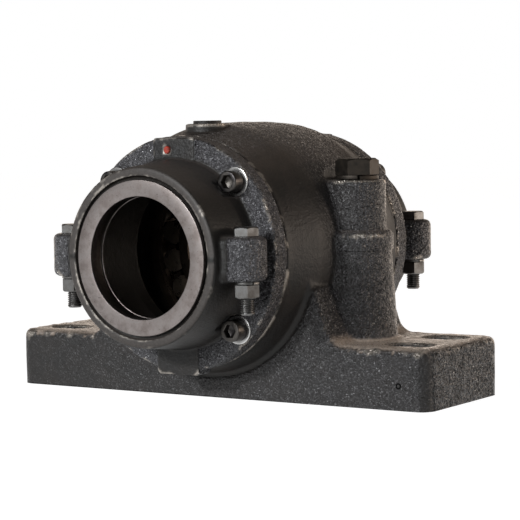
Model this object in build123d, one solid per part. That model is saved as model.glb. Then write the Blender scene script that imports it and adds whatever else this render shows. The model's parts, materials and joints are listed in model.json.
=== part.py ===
from build123d import *
import os
from math import cos, radians, sin, sqrt, tan

# Split plummer block for a 100 mm shaft: a cast base and cap around a spherical roller
# bearing, closed at both ends by split covers with labyrinth rings.
# Frame: millimetres, +Z up, +X along the base, shaft along Y, origin under the middle.

# Shaft line and bearing
shaft_d = 100.0            # shaft, bearing bore
axis_h = 125.0             # shaft centre above the mounting face
bearing_d = 180.0          # outside diameter of the bearing
bearing_w = 46.0           # width of the bearing
fit_gap = 0.05             # radial gap of seated and located faces
running_gap = 0.3          # gap kept between rollers and raceways

# Base casting
base_l = 422.0             # length of the base
base_w = 126.0             # width of the base
foot_h = 50.0              # height of the feet
corner_r = 12.0            # upright corners of the base
edge_r = 6.5               # worn mould edges along the top of the base
flank_foot_x = 120.4       # where the flank would meet the foot
flank_top_x = 94.3         # flank at the height of the shaft
flank_fillet_r = 15.0      # hollow between flank and foot

# Barrel around the bearing
barrel_half = 90.0         # half length of the barrel
neck_r = 98.0              # plain neck at each end, as large as the cover's rim
neck_l = 6.0
shoulder_rise = 9.0        # height of the rounded shoulders above the necks
shoulder_r = neck_r + shoulder_rise
shoulder_l = 38.0          # distance of the shoulder from the end of the barrel
shoulder_round_r = 25.0
barrel_crown = 1.8         # how much the barrel swells between its shoulders
neck_fillet = 2.5          # hollow between the barrel and the face of the base
barrel_edge = 1.5          # chamfer round both ends
seat_half = 33.0           # half width of the bearing seat
pocket_r = 92.0            # cast pocket on both sides of the seat
end_wall_t = 24.0
wall_in = barrel_half - end_wall_t
wall_bore_r = 72.0         # machined bore of the end walls

# Cap joint
bolt_x = 111.0             # cap bolts on both sides of the shaft
base_post_r = 28.5         # bolt post of the base at the split
base_post_foot_r = 32.5    # the same post at the foot
base_post_flare = 5.0      # cast hollow round the foot of the post
cap_flange_r = 30.0        # lip of the cap on the post
cap_flange_h = 16.0
cap_flange_edge = 3.0
cap_post_r = 24.0
cap_post_h = 58.5          # spot face of the cap above the split
spot_cut_r = 27.0          # clearance round the bolt head
spot_cut_h = 34.0
cap_head_turn = 35.5       # hexagon of the cap bolts, in degrees
cap_thread_depth = 48.0    # tapped depth in the base
dowel_d = 8.0
dowel_half = 12.0
dowel_x = 2.0              # dowel centre from the bolt axis
dowel_y = 22.0

# Pad and plug on the crown
pad_in = 30.0              # pad centre from the front end of the barrel
pad_y = pad_in - barrel_half
pad_r = 18.5
pad_proud = 2.9            # height of the pad above the shoulder beside it
pad_root = 20.0            # how deep the pad is rooted in the wall
plug_thread_d = 16.0
plug_depth = 11.0
plug_flange_d = 24.0
plug_flange_h = 2.6
plug_socket_af = 8.0
plug_tap_overlap = 5.0     # how far the tapped hole reaches into the cast pocket

# Mounting slots
slot_end = 34.0            # slot centre from the end of the foot
slot_x = base_l / 2 - slot_end
slot_y = 30.0
slot_w = 24.0
slot_l = 40.0
core_l = 84.0              # cored pockets under the base
core_w = 64.0
core_h = 26.0
core_x = 80.0
core_draft = 4.0           # degrees
mark_d = 5.0               # cast centre mark on the front of the right foot
mark_end = 27.0            # from the end of the foot
mark_x = base_l / 2 - mark_end
mark_z = 20.0

# End covers
cover_r = 98.0
cover_rim_t = 17.0         # thickness of the bolted rim
cover_l = 69.0             # how far the cover stands out of the barrel
cover_end = barrel_half + cover_l
spigot_l = 16.0            # length of the spigot inside the end wall
nose_root_r = 79.0
nose_end_r = 74.0
nose_bore_r = 66.6
nose_root_fillet = 3.0
cover_edge = 1.5           # broken edges of the rim and the nose
port_w = 42.0              # pads with ports at the top and bottom of each cover
port_t = 3.0
port_root = 6.0            # wall under the pads
port_top = 96.7            # flat end of the upper pad from the shaft axis
port_bottom = 100.5        # flat end of the lower pad
port_hole_d = 6.0
port_r = 86.5              # port centre from the shaft axis
port_depth = 12.0
port_plug_proud = 1.2
port_x = -6.0              # the port lies a little beside the middle of its pad

# Ears that clamp the cover halves
ear_x = 88.0
ear_out = 44.5             # ear bolt from the end of the barrel
ear_y = barrel_half + ear_out
ear_r = 16.5
ear_h = 18.0
ear_edge = 5.0

# Labyrinth rings
ring_r = 63.6
ring_l = 17.5
ring_rib = 3.5
ring_groove_r = 58.4
cover_rib_t = 2.0
cover_rib_r = 60.4
ring_chamfer = 0.8

# Cover screws
screw_r = 85.5
screw_angle = 45.0
screw_length = 35.0
screw_spot_r = 12.5
screw_spot_depth = 1.0
screw_tap_depth = 20.0
screw_head_room = 4.0      # clearance of the spot face above the screw head

# Fasteners: thread, across flats, head or nut height
m22 = {"d": 22.0, "af": 32.0, "head": 14.0, "washer_d": 36.0, "washer_t": 4.0}
m12 = {"d": 12.0, "af": 19.0, "head": 7.5, "nut": 10.8, "washer_d": 20.5, "washer_t": 2.5}
socket12 = {"d": 12.0, "head_d": 18.0, "head": 12.0, "af": 10.0, "depth": 6.0,
            "washer_d": 24.0, "washer_t": 2.5}
hole_gap = 0.75            # radial clearance of a bolt in a plain hole
locating_ring_t = 8.0      # wall of the rings beside the bearing
thread_gap = 0.05          # radial gap of a plain shank in a threaded hole
cap_bolt_length = 100.0
ear_bolt_length = 63.0
ear_head_turn = 10.0       # hexagons of the ear bolts and their nuts, in degrees
ear_nut_turn = 54.0

# Rolling elements
roller_count = 17          # rollers in each row
roller_r = 10.6            # largest radius of a barrel roller
roller_half = 9.2          # half length of a roller
roller_crown = 80.0        # profile radius of a roller
roller_centre = 70.4       # roller centre from the bearing centre
roller_tilt = 9.8          # lean of the rollers and raceways in degrees
roller_end_gap = 0.8
race_lip = 2.0             # height of the inner ring's outer lips
outer_race_r = roller_centre + roller_r + running_gap
inner_land_r = 61.5
cage_bar_t = 3.0
cage_bar_in = 66.0
cage_bar_out = 73.5
cage_rib_t = 2.2

def shoulder_at(y):
    """Radius of the sloping shoulder at that distance from the middle of the block."""
    shoulder_y = barrel_half - shoulder_l
    neck_y = barrel_half - neck_l
    return neck_r + (shoulder_r - neck_r) * (neck_y - y) / (neck_y - shoulder_y)


pad_top = shoulder_at(-pad_y) + pad_proud
axis_plane = Plane.XY.offset(axis_h)
upright = (Align.CENTER, Align.CENTER, Align.MIN)


def along_y(x, y, z, direction=1):
    """Place with its own Z running along Y, outward for direction 1 or back for -1."""
    return Plane(origin=(x, y, z), x_dir=(1, 0, 0), z_dir=(0, direction, 0))


def rod(place, radius, start, end):
    """Cylinder on the place's own axis from start to end."""
    return place * Pos(0, 0, start) * Cylinder(radius, end - start, align=upright)


def hexagon(place, across_flats, start, end, turn=0.0):
    """Hexagonal bar on the place's own axis."""
    sketch = RegularPolygon(across_flats / 2, 6, major_radius=False, rotation=turn)
    return place * Pos(0, 0, start) * extrude(sketch, end - start)


def turned(points):
    """Solid turned about the shaft axis from (radius, y) points."""
    outline = make_face(Polyline(*points, close=True))
    return Pos(0, 0, axis_h) * revolve(outline, Axis.Y)


def hex_head(place, across_flats, start, end, turn=0.0):
    """Hexagon with the corners of its free end turned off at 30 degrees."""
    height = end - start
    face_r = across_flats / 2 * 0.95
    limit = Cone(face_r + height / tan(radians(30)), face_r, height, align=upright)
    return hexagon(place, across_flats, start, end, turn) & (place * Pos(0, 0, start) * limit)


def above(shape):
    return split(shape, axis_plane, keep=Keep.TOP)


def below(shape):
    return split(shape, axis_plane, keep=Keep.BOTTOM)


# ---- castings -------------------------------------------------------------------------

def barrel_outline():
    """Half section of the barrel: crown, rounded shoulders and plain necks."""
    end_y = barrel_half
    low_r = neck_r - barrel_edge
    side_y = barrel_half - barrel_edge
    neck_y = barrel_half - neck_l
    shoulder_y = barrel_half - shoulder_l
    crown = ThreePointArc((shoulder_r, shoulder_y), (shoulder_r + barrel_crown, 0),
                          (shoulder_r, -shoulder_y))
    rest = Polyline((shoulder_r, -shoulder_y), (neck_r, -neck_y), (neck_r, -side_y), (low_r, -end_y),
                    (0, -end_y), (0, end_y), (low_r, end_y), (neck_r, side_y), (neck_r, neck_y),
                    (shoulder_r, shoulder_y))
    outline = make_face(crown + rest)
    shoulders = [v for v in outline.vertices() if abs(abs(v.Y) - shoulder_y) < 0.01 and v.X > neck_r]
    return fillet(shoulders, shoulder_round_r)


def barrel():
    return Pos(0, 0, axis_h) * revolve(barrel_outline(), Axis.Y)


def barrel_inside():
    """Everything machined or cored inside the barrel, as one turned solid."""
    seat_r = bearing_d / 2 + fit_gap
    bore_r = wall_bore_r + fit_gap
    half = [(bore_r, barrel_half + 1), (bore_r, wall_in), (pocket_r, wall_in),
            (pocket_r, seat_half), (seat_r, seat_half)]
    other = [(r, -y) for r, y in reversed(half)]
    return turned([(0, barrel_half + 1)] + half + other + [(0, -barrel_half - 1)])


def screw_places(side):
    """The four screw axes of one cover; side is -1 for the front and 1 for the rear."""
    places = []
    for name, degrees_round in (("upper_right", screw_angle), ("upper_left", 180 - screw_angle),
                                ("lower_left", 180 + screw_angle), ("lower_right", -screw_angle)):
        x = screw_r * cos(radians(degrees_round))
        z = axis_h + screw_r * sin(radians(degrees_round))
        places.append((name, along_y(x, 0, z, side)))
    return places


def screw_taps():
    start = barrel_half - screw_tap_depth
    radius = socket12["d"] / 2 + thread_gap
    taps = [rod(place, radius, start, barrel_half + 1)
            for side in (-1, 1) for name, place in screw_places(side)]
    return Compound(taps)


def base_outline():
    """Feet and flanks drawn from the front, on the XZ plane."""
    half_l = base_l / 2
    outline = Polyline((-half_l, 0), (half_l, 0), (half_l, foot_h), (flank_foot_x, foot_h),
                       (flank_top_x, axis_h), (-flank_top_x, axis_h), (-flank_foot_x, foot_h),
                       (-half_l, foot_h), close=True)
    face = make_face(outline)
    hollows = [v for v in face.vertices() if abs(abs(v.X) - flank_foot_x) < 0.01]
    return Plane.XZ * fillet(hollows, flank_fillet_r)


def neck_hollows():
    """Cast hollows between the barrel's shoulders and the front and rear faces of the base."""
    face_y = base_w / 2
    foot_r = shoulder_at(face_y)
    outer = face_y + neck_fillet
    inner = face_y - 1
    low_r = shoulder_at(outer) - 1
    arc = RadiusArc((shoulder_at(outer), outer), (foot_r + neck_fillet, face_y), -neck_fillet)
    sides = Polyline((foot_r + neck_fillet, face_y), (foot_r + neck_fillet, inner), (low_r, inner),
                     (low_r, outer), (shoulder_at(outer), outer))
    ring = Pos(0, 0, axis_h) * revolve(make_face(arc + sides), Axis.Y)
    both = ring + mirror(ring, about=Plane.XZ)
    return both & extrude(base_outline(), outer, both=True)


def base_block():
    """Base outline carried over the base's width, with rounded corners and upper edges."""
    half_l = base_l / 2
    block = extrude(base_outline(), base_w / 2, both=True)
    block = fillet(block.edges().filter_by(Axis.Z), corner_r)
    rim = [e for e in block.edges()
           if e.center().Z > foot_h - 0.01 and e.center().Z < axis_h - 0.01
           and (abs(abs(e.center().Y) - base_w / 2) < corner_r or abs(e.center().X) > half_l - corner_r)]
    return fillet(rim, edge_r)


def slot_cutters():
    slot = SlotOverall(slot_l, slot_w)
    cut = extrude(slot, foot_h + 2)
    return [Pos(x, y, -1) * cut for x in (-slot_x, slot_x) for y in (-slot_y, slot_y)]


def dowel_places():
    return [("left", Pos(-bolt_x - dowel_x, -dowel_y, axis_h)),
            ("right", Pos(bolt_x + dowel_x, dowel_y, axis_h))]


def dowel_holes():
    return [rod(place, dowel_d / 2 + fit_gap, -dowel_half - 1, dowel_half + 1)
            for name, place in dowel_places()]


def base_post():
    """Drafted bolt post, turned, with a cast hollow where it stands on the foot."""
    low = foot_h / 2
    foot_r = base_post_foot_r + 2 * base_post_flare
    outline = make_face(Polyline((0, low), (foot_r, low), (foot_r, foot_h), (base_post_foot_r, foot_h),
                                 (base_post_r, axis_h), (0, axis_h), close=True))
    corner = outline.vertices().sort_by_distance((base_post_foot_r, foot_h, 0))[0]
    return revolve(Plane.XZ * fillet(corner, base_post_flare), Axis.Z)


def housing_base():
    body = base_block()
    for x in (-bolt_x, bolt_x):
        body += Pos(x, 0, 0) * base_post()
    body += below(barrel())
    body += neck_hollows()
    body -= barrel_inside()
    body = below(body)
    for x in (-bolt_x, bolt_x):
        body -= rod(Pos(x, 0, axis_h), m22["d"] / 2 + thread_gap, -cap_thread_depth, 1)
    body -= dowel_holes()
    body -= slot_cutters()
    for x in (-core_x, core_x):
        core = extrude(RectangleRounded(core_l, core_w, corner_r), core_h, taper=core_draft)
        body -= Pos(x, 0, 0) * core
    body -= rod(Pos(mark_x, -base_w / 2, mark_z) * Rot(90, 0, 0), mark_d / 2, -1, 1)
    return body - screw_taps()


def housing_cap():
    body = above(barrel())
    for x in (-bolt_x, bolt_x):
        lip = rod(Pos(x, 0, axis_h), cap_flange_r, 0, cap_flange_h)
        lip = chamfer(lip.edges().group_by(Axis.Z)[-1], cap_flange_edge)
        body += lip
        body += rod(Pos(x, 0, axis_h), cap_post_r, 0, cap_post_h)
    for x in (-bolt_x, bolt_x):
        body -= rod(Pos(x, 0, axis_h), spot_cut_r, cap_post_h, cap_post_h + spot_cut_h)
    body += rod(Pos(0, pad_y, axis_h), pad_r, pad_top - pad_root, pad_top)
    body -= barrel_inside()
    body = above(body)
    for x in (-bolt_x, bolt_x):
        body -= rod(Pos(x, 0, axis_h), m22["d"] / 2 + hole_gap, -1, cap_post_h + 1)
    body -= dowel_holes()
    body -= rod(Pos(0, pad_y, axis_h), plug_thread_d / 2 + thread_gap, pocket_r - plug_tap_overlap,
                pad_top + 1)
    return body - screw_taps()


def filler_plug():
    """Flanged hexagon socket plug on the pad of the cap."""
    place = Pos(0, pad_y, axis_h + pad_top)
    plug = rod(place, plug_thread_d / 2, -plug_depth, 0)
    flange = rod(place, plug_flange_d / 2, 0, plug_flange_h)
    flange = chamfer(flange.edges().group_by(Axis.Z)[-1], 0.5)
    return plug + flange - hexagon(place, plug_socket_af, -plug_depth / 2, plug_flange_h + 1)


# ---- covers ---------------------------------------------------------------------------

def ring_edges():
    """Y distances of the ring's ribs from its inner end, as (start, end) pairs."""
    start = cover_end - ring_l
    pitch = 2 * ring_rib
    return [(start + pitch * i, start + pitch * i + ring_rib) for i in range(3)]


def cover_section():
    """Section of one end cover: spigot, rim, nose and the two fixed labyrinth ribs."""
    rim_in = barrel_half
    rim_out = barrel_half + cover_rim_t
    spigot_end = barrel_half - spigot_l
    points = [(nose_bore_r, spigot_end), (wall_bore_r, spigot_end), (wall_bore_r, rim_in),
              (cover_r, rim_in), (cover_r, rim_out - cover_edge), (cover_r - cover_edge, rim_out),
              (nose_root_r + nose_root_fillet, rim_out), (nose_root_r, rim_out + nose_root_fillet),
              (nose_end_r, cover_end - cover_edge), (nose_end_r - cover_edge, cover_end),
              (nose_bore_r, cover_end)]
    ribs = ring_edges()
    for (low, low_end), (high, high_end) in reversed(list(zip(ribs, ribs[1:]))):
        middle = (low_end + high) / 2
        points += [(nose_bore_r, middle + cover_rib_t / 2), (cover_rib_r, middle + cover_rib_t / 2),
                   (cover_rib_r, middle - cover_rib_t / 2), (nose_bore_r, middle - cover_rib_t / 2)]
    return points


def cover_ring(side):
    return turned([(r, side * y) for r, y in cover_section()])


def ear(x, side):
    """Lug beside the nose with its round end over the bolt."""
    plate = Pos(x, side * ear_y, axis_h) * Cylinder(ear_r, 2 * ear_h)
    root = Pos(x * 0.85, side * ear_y, axis_h) * Box(abs(x) * 0.3, 2 * ear_r, 2 * ear_h)
    lug = plate + root
    tops = lug.edges().group_by(Axis.Z)
    return fillet(tops[-1] + tops[0], ear_edge)


def port_pad(side, up):
    """Flat pad on the rim for the grease port, above (up 1) or below (up -1) the nose."""
    low = nose_bore_r + port_root
    height = (port_top if up > 0 else port_bottom) - low
    face_y = barrel_half + cover_rim_t + port_t
    depth = face_y - barrel_half - 1
    pad = Box(port_w, depth, height)
    pad = fillet(pad.edges().filter_by(Axis.Y).group_by(Axis.Z)[-1 if up > 0 else 0], 3)
    return Pos(0, side * (face_y - depth / 2), axis_h + up * (low + height / 2)) * pad


def cover_half(side, up):
    """Upper (up 1) or lower (up -1) half of the front (side -1) or rear (side 1) cover."""
    keep = above if up > 0 else below
    body = cover_ring(side)
    bore = rod(along_y(0, 0, axis_h, side), nose_bore_r, barrel_half, cover_end + 1)
    for x in (-ear_x, ear_x):
        body += ear(x, side) - bore
    body += port_pad(side, up)
    spot_y = barrel_half + cover_rim_t - screw_spot_depth
    for name, place in screw_places(side):
        room_y = spot_y + socket12["washer_t"] + socket12["head"] + screw_head_room
        body -= rod(place, screw_spot_r, spot_y, room_y)
        body -= rod(place, socket12["d"] / 2 + hole_gap, barrel_half - 1, spot_y + 1)
    for x in (-ear_x, ear_x):
        body -= rod(Pos(x, side * ear_y, axis_h), m12["d"] / 2 + hole_gap, -ear_h - 1, ear_h + 1)
    if up > 0:
        face_y = barrel_half + cover_rim_t + port_t
        body -= rod(port_place(side), port_hole_d / 2 + thread_gap, face_y - port_depth, face_y + 1)
    return keep(body)


def port_place(side):
    """Axis of the grease port on the upper pad, running out of the cover."""
    return along_y(port_x, 0, axis_h + port_r, side)


def port_plug(side):
    """Small plug pressed in the port of the upper cover half."""
    face_y = barrel_half + cover_rim_t + port_t
    body = rod(port_place(side), port_hole_d / 2, face_y - port_depth + 1, face_y + port_plug_proud)
    return chamfer(body.edges().sort_by(lambda e: side * e.center().Y)[-1], 0.5)


def labyrinth_ring(side):
    """Ring that turns with the shaft; its ribs run between the fixed ribs of the cover."""
    start = cover_end - ring_l
    bore_r = shaft_d / 2
    points = [(bore_r + ring_chamfer, cover_end), (bore_r, cover_end - ring_chamfer),
              (bore_r, start + ring_chamfer), (bore_r + ring_chamfer, start), (ring_r, start)]
    ribs = ring_edges()
    for (low, low_end), (high, high_end) in zip(ribs, ribs[1:]):
        points += [(ring_r, low_end), (ring_groove_r, low_end), (ring_groove_r, high), (ring_r, high)]
    points += [(ring_r, cover_end - ring_chamfer), (ring_r - ring_chamfer, cover_end)]
    return turned([(r, side * y) for r, y in points])


# ---- fasteners ------------------------------------------------------------------------

def spring_washer(place, size, start):
    """Split spring washer, pressed flat, with its saw cut."""
    end = start + size["washer_t"]
    inner = size["d"] / 2 + 0.4
    body = rod(place, size["washer_d"] / 2, start, end) - rod(place, inner, start - 1, end + 1)
    cut = Pos(size["washer_d"] / 2, 0, (start + end) / 2) * Rot(15, 0, 0)
    return body - place * cut * Box(size["washer_d"] / 1.6, 1.2, 4 * size["washer_t"])


def cap_bolt(x):
    seat = cap_post_h + m22["washer_t"]
    place = Pos(x, 0, axis_h)
    shank = rod(place, m22["d"] / 2, seat - cap_bolt_length, seat)
    shank = chamfer(shank.edges().group_by(Axis.Z)[0], 1.5)
    return shank + hex_head(place, m22["af"], seat, seat + m22["head"], turn=cap_head_turn)


def cap_washer(x):
    return spring_washer(Pos(x, 0, axis_h), m22, cap_post_h)


def ear_bolt(x, side):
    place = Pos(x, side * ear_y, axis_h)
    shank = rod(place, m12["d"] / 2, ear_h - ear_bolt_length, ear_h)
    shank = chamfer(shank.edges().group_by(Axis.Z)[0], 1)
    return shank + hex_head(place, m12["af"], ear_h, ear_h + m12["head"], turn=ear_head_turn)


def ear_washer(x, side):
    return spring_washer(Pos(x, side * ear_y, axis_h), m12, -ear_h - m12["washer_t"])


def ear_nut(x, side):
    place = Pos(x, side * ear_y, axis_h) * Rot(180, 0, 0)
    start = ear_h + m12["washer_t"]
    body = hex_head(place, m12["af"], start, start + m12["nut"], turn=ear_nut_turn)
    return body - rod(place, m12["d"] / 2 + thread_gap, start - 1, start + m12["nut"] + 1)


def cover_washer(place):
    start = barrel_half + cover_rim_t - screw_spot_depth
    end = start + socket12["washer_t"]
    body = rod(place, socket12["washer_d"] / 2, start, end)
    return body - rod(place, socket12["d"] / 2 + 0.4, start - 1, end + 1)


def cover_screw(place):
    seat = barrel_half + cover_rim_t - screw_spot_depth + socket12["washer_t"]
    end = seat + socket12["head"]
    head = place * Pos(0, 0, seat) * chamfer(
        Cylinder(socket12["head_d"] / 2, socket12["head"], align=upright).edges().group_by(Axis.Z)[-1], 0.8)
    head -= hexagon(place, socket12["af"], end - socket12["depth"], end + 1)
    shank = rod(place, socket12["d"] / 2, seat - screw_length, seat)
    return head + shank


def dowel_pin(place):
    body = rod(place, dowel_d / 2, -dowel_half, dowel_half)
    return chamfer(body.edges().filter_by(GeomType.CIRCLE), 0.8)


# ---- bearing --------------------------------------------------------------------------

def outer_ring():
    """Outer ring with its spherical raceway."""
    half = bearing_w / 2
    shoulder_r = sqrt(outer_race_r ** 2 - half ** 2)
    race = ThreePointArc((shoulder_r, -half), (outer_race_r, 0), (shoulder_r, half))
    sides = Polyline((shoulder_r, half), (bearing_d / 2, half), (bearing_d / 2, -half),
                     (shoulder_r, -half))
    return Pos(0, 0, axis_h) * revolve(make_face(race + sides), Axis.Y)


def race_point(along, lift=0.0):
    """Point (radius, y) on the inner raceway, measured along it from its middle."""
    tilt = radians(roller_tilt)
    reach = roller_centre - roller_r - running_gap + lift
    return (reach * cos(tilt) - along * sin(tilt), reach * sin(tilt) + along * cos(tilt))


def inner_ring():
    """Inner ring with two hollow raceways, leaning away from the middle rib."""
    half = bearing_w / 2
    reach = roller_half + roller_end_gap
    sag = reach ** 2 / (2 * roller_crown)
    near = race_point(-reach, sag)
    middle = race_point(0.0)
    far = race_point(reach, sag)
    lip = (far[0] + race_lip, far[1])
    bore_r = shaft_d / 2
    def mirrored(point):
        return (point[0], -point[1])
    right = ThreePointArc(near, middle, far)
    left = ThreePointArc(mirrored(near), mirrored(middle), mirrored(far))
    rib = Polyline(mirrored(near), (inner_land_r, mirrored(near)[1]), (inner_land_r, near[1]), near)
    ends = Polyline(far, lip, (lip[0], half), (bore_r, half), (bore_r, -half), (lip[0], -half),
                    mirrored(lip), mirrored(far))
    outline = make_face(right + left + rib + ends)
    return Pos(0, 0, axis_h) * revolve(outline, Axis.Y)


def roller_axes():
    """Place of every roller, its own Z along the roller."""
    step = 360 / roller_count
    places = []
    for row, side in enumerate((-1, 1)):
        for i in range(roller_count):
            turn = Rot(0, step * (i + 0.5 * row), 0)
            lean = Rot(0, 0, side * roller_tilt)
            places.append(Pos(0, 0, axis_h) * turn * lean * Pos(roller_centre, 0, 0) * Rot(90, 0, 0))
    return places


def rollers():
    """All barrel rollers of both rows, each a solid of its own."""
    sag = roller_half ** 2 / (2 * roller_crown)
    side = ThreePointArc((roller_r - sag, -roller_half), (roller_r, 0), (roller_r - sag, roller_half))
    ends = Polyline((roller_r - sag, roller_half), (0, roller_half), (0, -roller_half),
                    (roller_r - sag, -roller_half))
    barrel_face = make_face(side + ends)
    roller = Rot(90, 0, 0) * revolve(barrel_face, Axis.Y)
    return Compound([place * roller for place in roller_axes()])


def cage():
    """Comb cage: a rib between the rows with a bar between each two rollers."""
    rib = rod(along_y(0, 0, axis_h), cage_bar_out, -cage_rib_t / 2, cage_rib_t / 2)
    rib -= rod(along_y(0, 0, axis_h), cage_bar_in, -cage_rib_t, cage_rib_t)
    bar_l = 2 * roller_half
    step = 360 / roller_count
    bars = []
    for row, side in enumerate((-1, 1)):
        for i in range(roller_count):
            turn = Rot(0, step * (i + 0.5 * row + 0.5), 0)
            bar = Box(cage_bar_out - cage_bar_in, bar_l, cage_bar_t)
            middle = (cage_bar_out + cage_bar_in) / 2
            bars.append(Pos(0, 0, axis_h) * turn * Pos(middle, side * bar_l / 2, 0) * bar)
    return rib + bars


def locating_ring(side):
    """Ring that fills the seat beside the bearing."""
    start = bearing_w / 2
    place = along_y(0, 0, axis_h, side)
    body = rod(place, bearing_d / 2, start, seat_half)
    return body - rod(place, bearing_d / 2 - locating_ring_t, start - 1, seat_half + 1)


# ---- nodes ----------------------------------------------------------------------------

def nodes():
    parts = {"housing_base": housing_base(), "housing_cap": housing_cap(), "filler_plug": filler_plug(),
             "bearing_outer_ring": outer_ring(), "bearing_inner_ring": inner_ring(),
             "bearing_rollers": rollers(), "bearing_cage": cage()}
    for name, x in (("left", -bolt_x), ("right", bolt_x)):
        parts[f"cap_bolt_{name}"] = cap_bolt(x)
        parts[f"cap_spring_washer_{name}"] = cap_washer(x)
    for name, place in dowel_places():
        parts[f"dowel_pin_{name}"] = dowel_pin(place)
    for end, side in (("front", -1), ("rear", 1)):
        parts[f"{end}_cover_upper"] = cover_half(side, 1)
        parts[f"{end}_cover_lower"] = cover_half(side, -1)
        parts[f"{end}_port_plug"] = port_plug(side)
        parts[f"{end}_labyrinth_ring"] = labyrinth_ring(side)
        parts[f"{end}_locating_ring"] = locating_ring(side)
        for name, x in (("left", -ear_x), ("right", ear_x)):
            parts[f"{end}_ear_bolt_{name}"] = ear_bolt(x, side)
            parts[f"{end}_ear_washer_{name}"] = ear_washer(x, side)
            parts[f"{end}_ear_nut_{name}"] = ear_nut(x, side)
        for name, place in screw_places(side):
            parts[f"{end}_cover_screw_{name}"] = cover_screw(place)
            parts[f"{end}_cover_washer_{name}"] = cover_washer(place)
    return parts


os.makedirs("parts", exist_ok=True)
for name, shape in nodes().items():
    export_step(shape, f"parts/{name}.step")
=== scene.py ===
# %% [markdown]
# # Split plummer block: the dressed model
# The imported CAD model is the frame: every piece of the block is already there at its real
# size. This notebook gives the block its looks. Castings get their sand skin, turned rings get
# broken edges, bolts get threads, and each metal gets its own finish. Lengths are in metres,
# with the shaft along Y, the feet along X and the base standing on Z = 0.

# %% Load the frame
import json
from contextlib import contextmanager

import bmesh
import bpy
import numpy as np
from mathutils import Matrix, Vector


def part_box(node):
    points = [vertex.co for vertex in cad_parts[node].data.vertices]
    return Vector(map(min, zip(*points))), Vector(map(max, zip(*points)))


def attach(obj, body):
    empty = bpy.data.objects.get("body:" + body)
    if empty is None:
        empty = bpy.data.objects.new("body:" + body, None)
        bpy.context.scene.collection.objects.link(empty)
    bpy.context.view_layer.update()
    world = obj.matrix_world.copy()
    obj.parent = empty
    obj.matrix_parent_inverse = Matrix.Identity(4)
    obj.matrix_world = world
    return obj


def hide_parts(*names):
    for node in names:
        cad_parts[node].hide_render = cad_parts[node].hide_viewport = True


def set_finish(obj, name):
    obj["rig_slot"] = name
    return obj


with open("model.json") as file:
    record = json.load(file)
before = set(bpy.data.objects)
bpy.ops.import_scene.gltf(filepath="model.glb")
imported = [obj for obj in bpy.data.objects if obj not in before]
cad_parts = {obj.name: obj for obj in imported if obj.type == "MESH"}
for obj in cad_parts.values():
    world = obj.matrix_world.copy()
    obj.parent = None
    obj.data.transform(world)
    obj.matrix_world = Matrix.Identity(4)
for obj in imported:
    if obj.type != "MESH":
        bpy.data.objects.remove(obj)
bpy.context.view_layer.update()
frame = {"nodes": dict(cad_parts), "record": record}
mm = 0.001
hands = ("left", "right")
halves = ("upper", "lower")
ends = ("front", "rear")
outward_y = {"front": -1, "rear": 1}
print(len(frame["nodes"]), "nodes in the frame")

# %% [markdown]
# ## Places that everything else is measured from
# The shaft's axis lies in the housing's split plane, so its height is the top of the lower half.
# These places could be typed in again, but read from the frame they stay right when a size
# changes.

# %% Driving places
FOOT_END, BARREL_HALF, AXIS_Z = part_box("housing_base")[1]
mount_sizes = {mount["name"]: mount["dims"] for mount in frame["record"]["mounts"]}
BORE_RADIUS = mount_sizes["shaft_bore"]["r_mm"] * mm


def middle(node, axis, place):
    """Centre of a CAD node's box, moved to that place along axis 1 or 2, which are Y and Z."""
    centre = np.mean(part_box(node), axis=0)
    centre[axis] = place
    return centre


print("shaft axis at", round(AXIS_Z / mm, 1), "mm, bore radius", BORE_RADIUS / mm, "mm")

# %% [markdown]
# ## Meshes from numpy grids
# A turned or hexagonal piece is a sheet of points with two parameters: the angle round its axis
# and the distance along its profile. A Screw modifier could turn a plain profile, but it can't
# let a hexagon run into a thread. Rows on the axis are merged to a point, which closes the poles.

# %% Grid to mesh
MERGE_DISTANCE = 0.002 * mm
TURNED_SHARP_ANGLE = 32.0


def linked(name, data):
    """Object at the origin that holds a mesh, a lamp or a camera, put into the scene."""
    thing = bpy.data.objects.new(name, data)
    bpy.context.scene.collection.objects.link(thing)
    return thing


@contextmanager
def edited(mesh):
    """bmesh to work on, which is written back to the mesh at the end."""
    work = bmesh.new()
    work.from_mesh(mesh)
    yield work
    work.to_mesh(mesh)
    work.free()


def shade(mesh, sharp_angle):
    """Smooth shading that keeps edges sharp above the angle, in degrees."""
    mesh.shade_smooth()
    mesh.set_sharp_from_angle(angle=np.radians(sharp_angle))


def grid_piece(name, points, loop_rows=False):
    """Piece from an array of points (rows, columns, 3), where each cell of the grid is one face.

    Every row closes on itself. With loop_rows the last row also joins the first. Poles and seams
    are merged and the faces are turned outwards.
    """
    rows, columns = points.shape[:2]
    index = np.arange(rows * columns).reshape(rows, columns)
    if loop_rows:
        index = np.vstack([index, index[:1]])
    index = np.hstack([index, index[:, :1]])
    faces = np.stack([index[:-1, :-1], index[:-1, 1:], index[1:, 1:], index[1:, :-1]], axis=-1)
    mesh = bpy.data.meshes.new(name)
    mesh.from_pydata(points.reshape(-1, 3).tolist(), [], faces.reshape(-1, 4).tolist())
    with edited(mesh) as work:
        bmesh.ops.remove_doubles(work, verts=work.verts, dist=MERGE_DISTANCE)
        bmesh.ops.recalc_face_normals(work, faces=work.faces)
    shade(mesh, TURNED_SHARP_ANGLE)
    return linked(name, mesh)


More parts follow.
